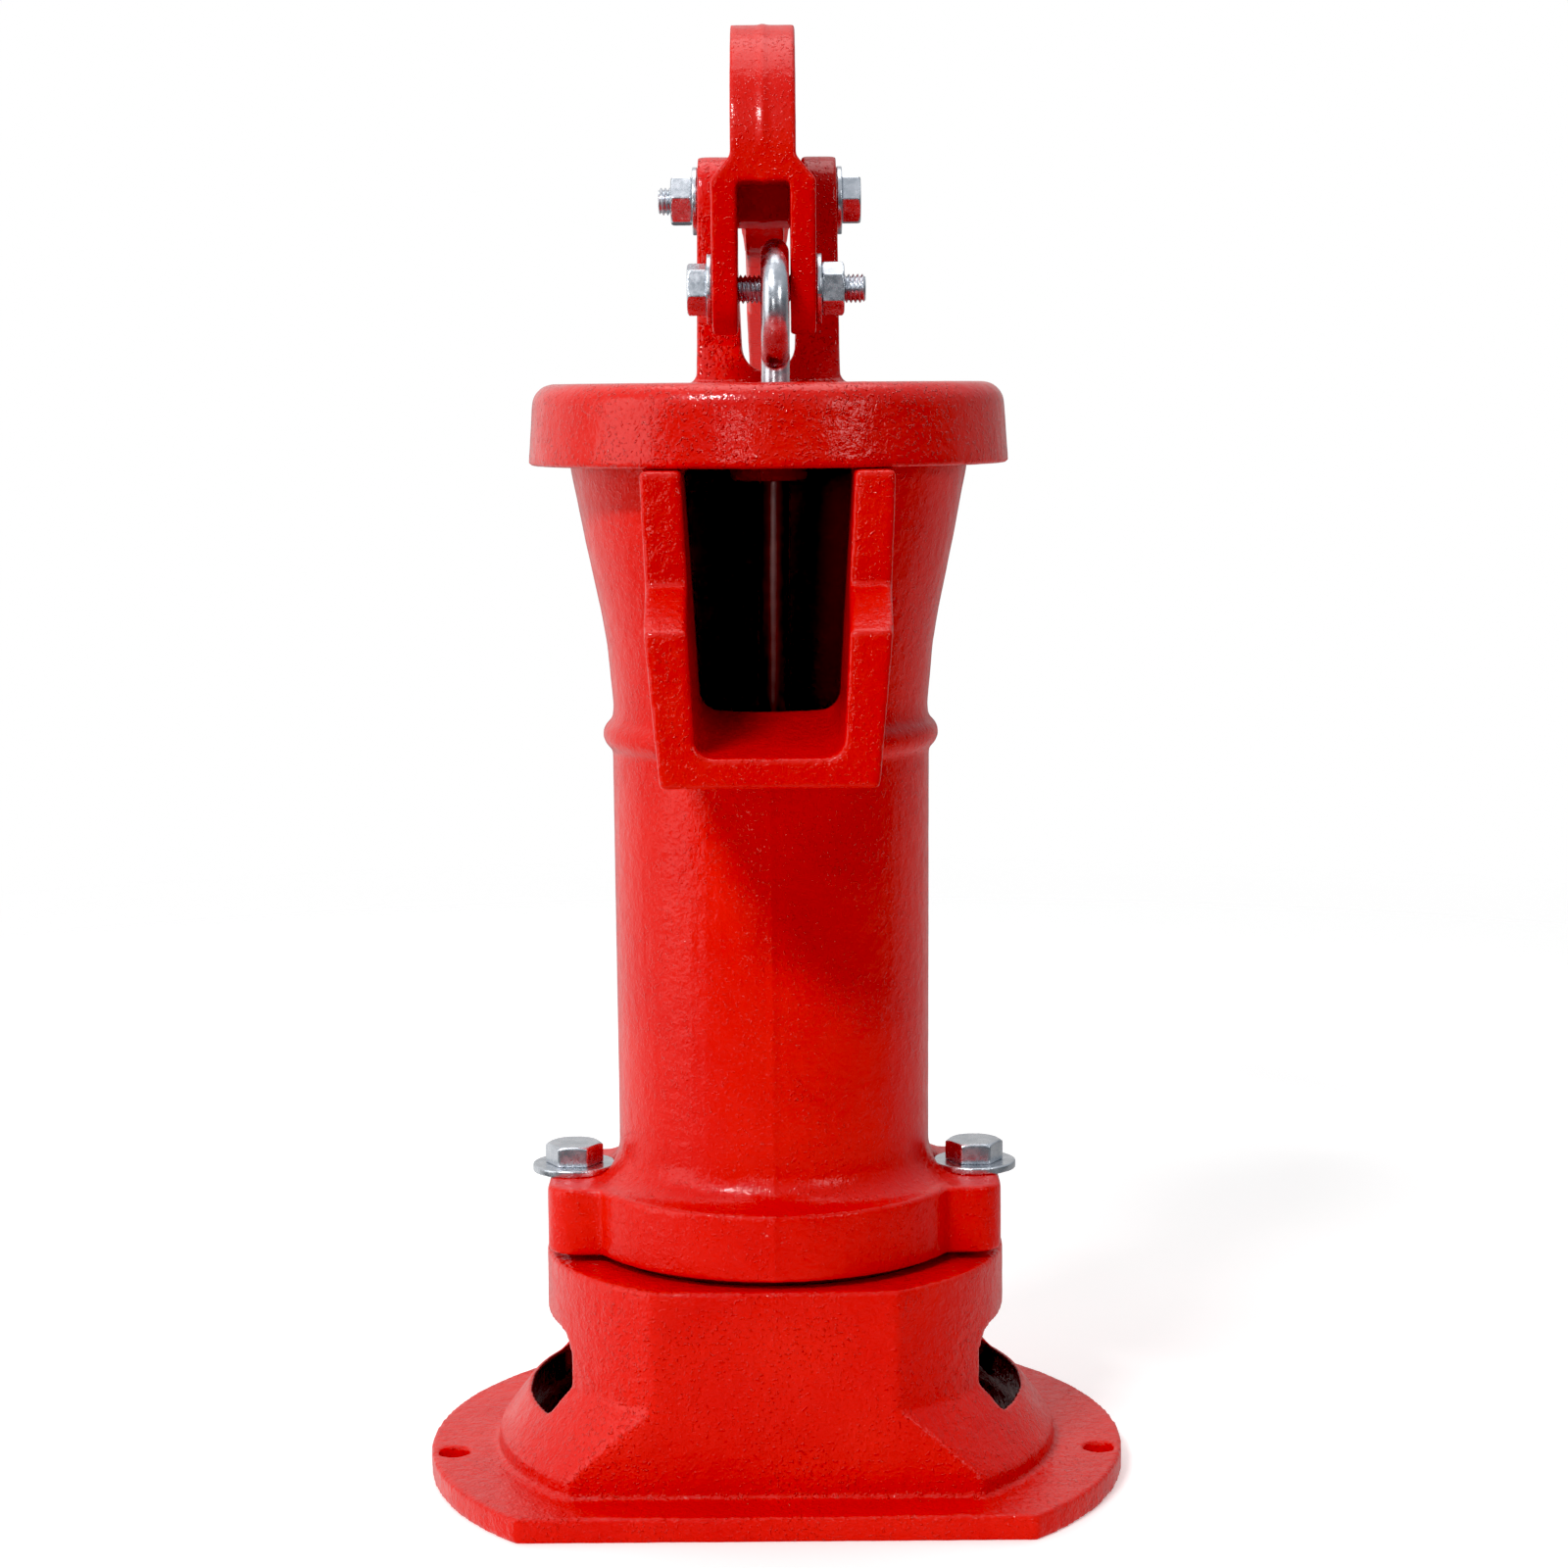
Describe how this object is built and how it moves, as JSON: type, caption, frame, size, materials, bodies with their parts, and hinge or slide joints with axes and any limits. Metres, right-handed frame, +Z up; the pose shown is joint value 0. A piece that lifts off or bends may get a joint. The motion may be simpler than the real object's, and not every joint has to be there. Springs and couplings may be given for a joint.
{
  "type": "hand pitcher pump",
  "caption": "Cast-iron hand pitcher pump: footed base, barrel with trough spout, swivelling cap, forked lever handle, lift rod, cup-leather plunger and leather foot valve.",
  "frame": {"origin": "on the barrel axis, at the floor, in the mouth of the suction thread", "axes": "+Z up the barrel axis, -Y towards the spout, +X to the right seen from the spout side"},
  "size_m": [0.198, 0.3842, 0.408],
  "materials": {
    "enamel": "red gloss enamel over sand-cast iron",
    "zinc": "bright zinc plating",
    "leather": "oiled hide",
    "raw_iron": "bare sand-cast iron",
    "bronze": "turned and wet-worn"
  },
  "bodies": {
    "pump_body": {"base": "enamel", "valve_gasket": "leather", "barrel": "enamel", "flange_bolts": "zinc", "flange_washers": "zinc"},
    "cap_body": {"cap": "enamel", "cap_set_screws": "zinc", "fulcrum_bolt": "zinc", "fulcrum_nut": "zinc", "fulcrum_washers": "zinc"},
    "handle_body": {"handle": "enamel", "rod_pin_bolt": "zinc", "rod_pin_nut": "zinc", "rod_pin_washers": "zinc"},
    "rod_body": {"piston_rod": "zinc", "rod_lock_nut": "zinc", "plunger_cage": "raw_iron", "plunger_cup_leather": "leather", "plunger_follower": "raw_iron"},
    "poppet_body": {"plunger_poppet": "bronze"},
    "flap_body": {"foot_valve_flap": "leather", "foot_valve_weight": "raw_iron", "foot_valve_bolt": "zinc", "foot_valve_washer": "zinc", "foot_valve_nut": "zinc"}
  },
  "joints": [
    {"name": "cap_swivel", "type": "hinge", "parent": "pump_body", "child": "cap_body", "pos_m": [0, 0, 0.2997], "axis": [0, 0, 1], "range_deg": [-90, 90]},
    {"name": "handle_pivot", "type": "hinge", "parent": "cap_body", "child": "handle_body", "pos_m": [0, 0.0502, 0.3607], "axis": [-1, 0, 0], "range_deg": [0, 46]},
    {"name": "rod_slide", "type": "slide", "parent": "cap_body", "child": "rod_body", "axis": [0, 0, 1], "range_m": [0, 0.0418]},
    {"name": "poppet_lift", "type": "slide", "parent": "rod_body", "child": "poppet_body", "axis": [0, 0, 1], "range_m": [0, 0.008]},
    {"name": "foot_flap", "type": "hinge", "parent": "pump_body", "child": "flap_body", "pos_m": [0, 0.023, 0.066], "axis": [-1, 0, 0], "range_deg": [0, 35]}
  ],
  "couplings": [
    {"joint": "rod_slide", "follows": "handle_pivot", "m_per_rad": 0.05198}
  ]
}
